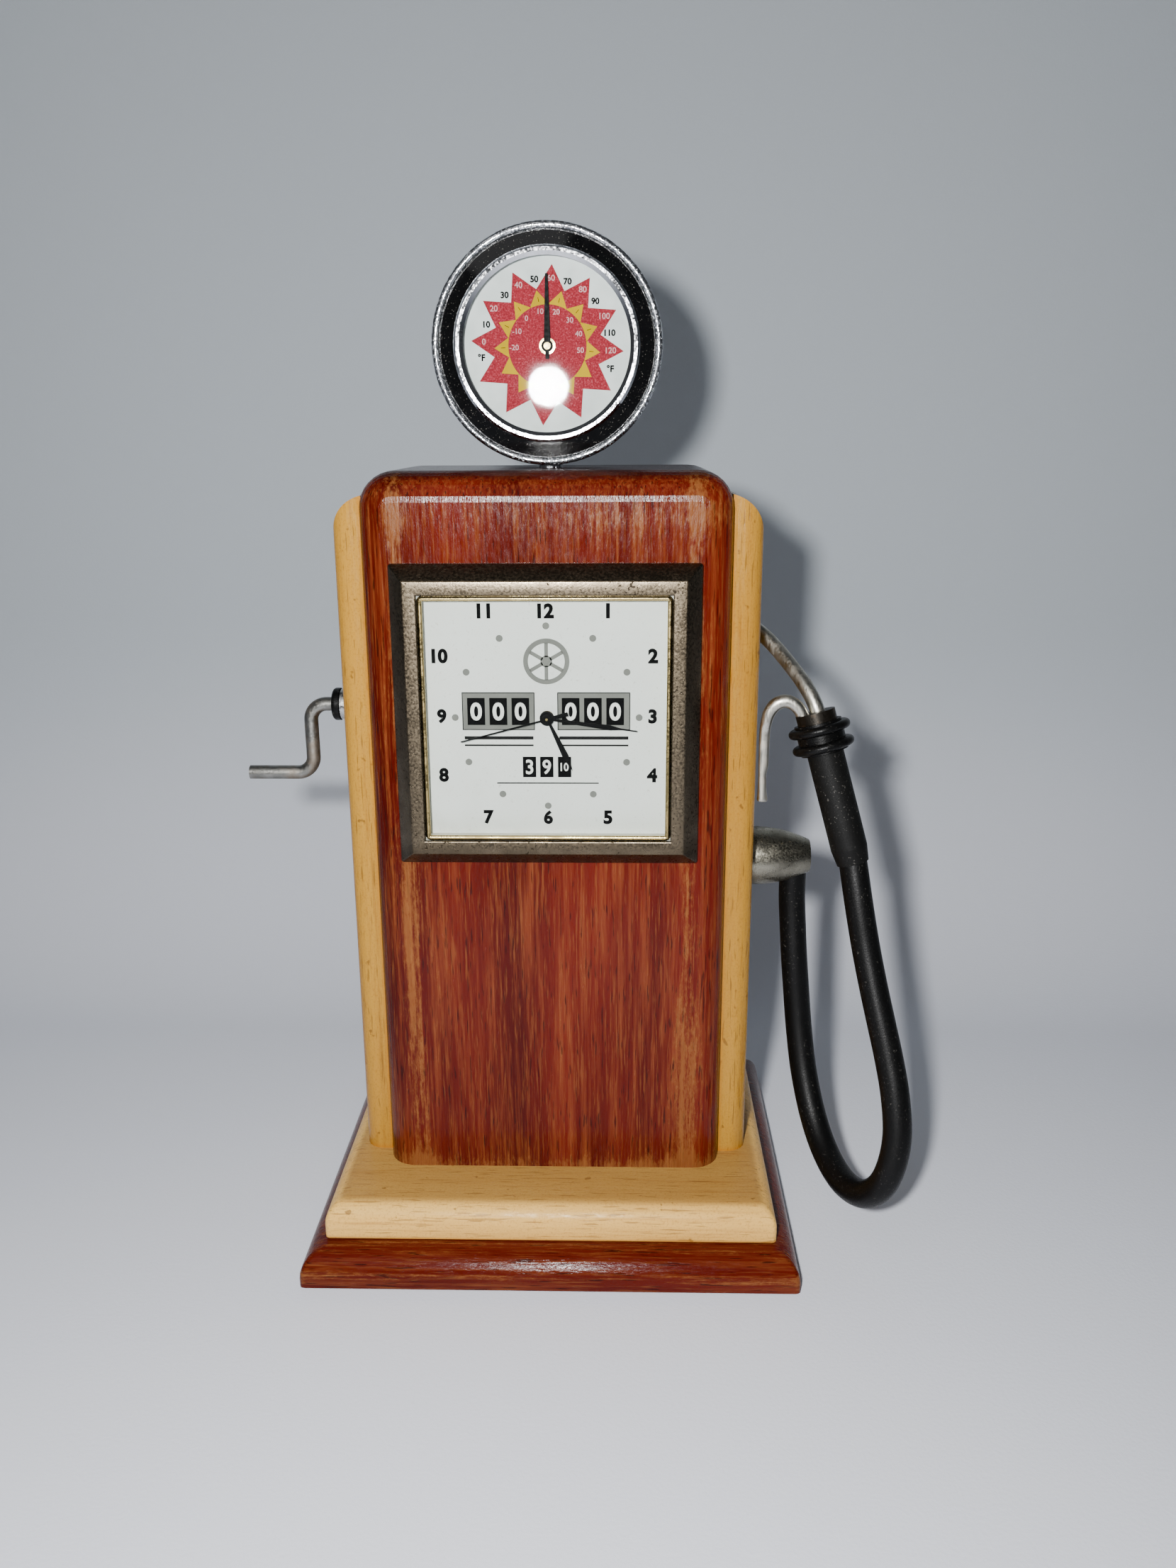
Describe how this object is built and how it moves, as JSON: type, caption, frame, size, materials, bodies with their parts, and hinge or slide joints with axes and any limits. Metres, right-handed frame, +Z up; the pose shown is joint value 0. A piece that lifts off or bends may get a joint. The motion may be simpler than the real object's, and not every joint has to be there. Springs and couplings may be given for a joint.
{
  "type": "service station advertising clock",
  "caption": "Desk clock shaped like an old fuel pump: wooden body with a square clock insert, a round thermometer on top, a turning crank and a nozzle on a hanging hose.",
  "frame": {"origin": "middle of the base plate's flat underside, on the standing surface", "axes": "+Z up, the dial faces -Y, +X to the viewer's right, where the hose hangs"},
  "size_m": [0.1965, 0.1254, 0.292],
  "materials": {
    "red_wood": "red wood stain rubbed through at the edges, clear gloss varnish",
    "maple_wood": "pale maple, clear yellowed varnish",
    "screw_steel": "zinc plated",
    "chrome": "bright chrome with fine speckled pitting",
    "black_gloss": "glossy black enamel",
    "black_matte": "matte black moulding",
    "glass": "clear glass",
    "dial_print": "printed off-white dial",
    "thermo_print": "printed dial with a red sunburst",
    "bezel_metal": "aged gunmetal and antique nickel",
    "brass": "lacquered brass",
    "bimetal": "thin bimetal strip",
    "hand_black": "black painted",
    "case_grey": "grey moulding",
    "movement_plastic": "natural acetal",
    "wheel_plastic": "ivory acetal",
    "magnet_steel": "sintered magnet and steel",
    "copper_wire": "enamelled copper winding",
    "board_green": "printed circuit board",
    "battery_steel": "button cell",
    "contact_spring": "plated spring leaf",
    "rod_aluminium": "satin, lightly scuffed",
    "steel_bright": "bright turned steel",
    "pewter": "mottled antique pewter",
    "rubber": "matte black rubber, dusty",
    "collar_dark": "dark bronzed"
  },
  "bodies": {
    "cabinet": {"base_plate": "red_wood", "plinth": "maple_wood", "pump_block": "red_wood", "left_side_board": "maple_wood", "right_side_board": "maple_wood", "base_screws": "screw_steel", "thermo_stem": "chrome", "thermo_housing": "black_matte", "thermo_rim": "chrome", "thermo_surround": "black_gloss", "thermo_bezel": "chrome", "thermo_lens": "glass", "thermo_dial": "thermo_print", "bimetal_coil": "bimetal", "coil_anchor": "steel_bright", "thermo_back_cover": "black_matte", "crank_bushing": "steel_bright", "hose_fitting": "pewter", "hose": "rubber", "nozzle_sleeve": "rubber", "nozzle_grommet": "rubber", "nozzle_collar": "collar_dark", "nozzle_spout": "rod_aluminium", "nozzle_lever": "rod_aluminium"},
    "insert": {"clock_bezel": "bezel_metal", "clock_lip": "brass", "clock_lens": "glass", "dial_spacer": "dial_print", "clock_dial": "dial_print", "insert_case": "case_grey", "grip_band": "rubber", "case_back": "case_grey", "hand_bushing": "brass", "movement_front": "movement_plastic", "movement_back": "movement_plastic", "stator": "steel_bright", "coil": "copper_wire", "circuit_board": "board_green", "battery": "battery_steel", "contact_positive": "contact_spring", "contact_negative": "contact_spring"},
    "minute_work": {"cannon_pinion": "brass", "minute_hand": "hand_black"},
    "centre_work": {"centre_wheel": "brass"},
    "hour_work": {"hour_wheel": "wheel_plastic", "hour_hand": "hand_black"},
    "second_work": {"second_wheel": "brass", "second_hand": "hand_black"},
    "motion_work": {"motion_wheel": "wheel_plastic"},
    "third_work": {"third_wheel": "brass"},
    "intermediate_work": {"intermediate_wheel": "wheel_plastic"},
    "rotor_work": {"rotor": "magnet_steel"},
    "knob": {"setting_knob": "case_grey"},
    "battery_hatch": {"battery_cover": "case_grey"},
    "needle": {"thermo_needle": "hand_black", "thermo_arbor": "brass"},
    "crank": {"crank_rod": "rod_aluminium", "crank_grommet": "rubber"}
  },
  "joints": [
    {"name": "insert_slide", "type": "slide", "parent": "cabinet", "child": "insert", "axis": [0, -1, 0], "range_m": [0, 0.05]},
    {"name": "minute_turn", "type": "hinge", "parent": "insert", "child": "minute_work", "pos_m": [0, -0.025, 0.1625], "axis": [0, 1, 0], "continuous": true},
    {"name": "hour_turn", "type": "hinge", "parent": "insert", "child": "hour_work", "pos_m": [0, -0.025, 0.1625], "axis": [0, 1, 0], "continuous": true},
    {"name": "motion_turn", "type": "hinge", "parent": "insert", "child": "motion_work", "pos_m": [0, -0.025, 0.1685], "axis": [0, 1, 0], "continuous": true},
    {"name": "knob_turn", "type": "hinge", "parent": "insert", "child": "knob", "pos_m": [0, -0.013, 0.17525], "axis": [0, 1, 0], "continuous": true},
    {"name": "second_turn", "type": "hinge", "parent": "insert", "child": "second_work", "pos_m": [0, -0.025, 0.1625], "axis": [0, 1, 0], "continuous": true},
    {"name": "third_turn", "type": "hinge", "parent": "insert", "child": "third_work", "pos_m": [-0.00677, -0.025, 0.16004], "axis": [0, 1, 0], "continuous": true},
    {"name": "centre_turn", "type": "hinge", "parent": "insert", "child": "centre_work", "pos_m": [0, -0.025, 0.1625], "axis": [0, 1, 0], "continuous": true},
    {"name": "intermediate_turn", "type": "hinge", "parent": "insert", "child": "intermediate_work", "pos_m": [0.00367, -0.025, 0.15613], "axis": [0, 1, 0], "continuous": true},
    {"name": "rotor_turn", "type": "hinge", "parent": "insert", "child": "rotor_work", "pos_m": [0.00728, -0.025, 0.1499], "axis": [0, 1, 0], "continuous": true},
    {"name": "battery_hatch_turn", "type": "hinge", "parent": "insert", "child": "battery_hatch", "pos_m": [0.0125, -0.0158, 0.175], "axis": [0, 1, 0], "range_deg": [0, 45]},
    {"name": "needle_turn", "type": "hinge", "parent": "cabinet", "child": "needle", "pos_m": [0, -0.0083, 0.2606], "axis": [0, 1, 0], "range_deg": [-92, 92], "stiffness_Nm_per_rad": 0.0001},
    {"name": "crank_turn", "type": "hinge", "parent": "cabinet", "child": "crank", "pos_m": [-0.06, 0, 0.1592], "axis": [1, 0, 0], "continuous": true}
  ],
  "couplings": [
    {"joint": "hour_turn", "follows": "minute_turn", "ratio": 0.083333},
    {"joint": "motion_turn", "follows": "minute_turn", "ratio": -0.33333},
    {"joint": "knob_turn", "follows": "minute_turn", "ratio": 0.66667},
    {"joint": "third_turn", "follows": "second_turn", "ratio": -0.13333},
    {"joint": "centre_turn", "follows": "second_turn", "ratio": 0.016667},
    {"joint": "intermediate_turn", "follows": "second_turn", "ratio": -6},
    {"joint": "rotor_turn", "follows": "second_turn", "ratio": 30}
  ]
}
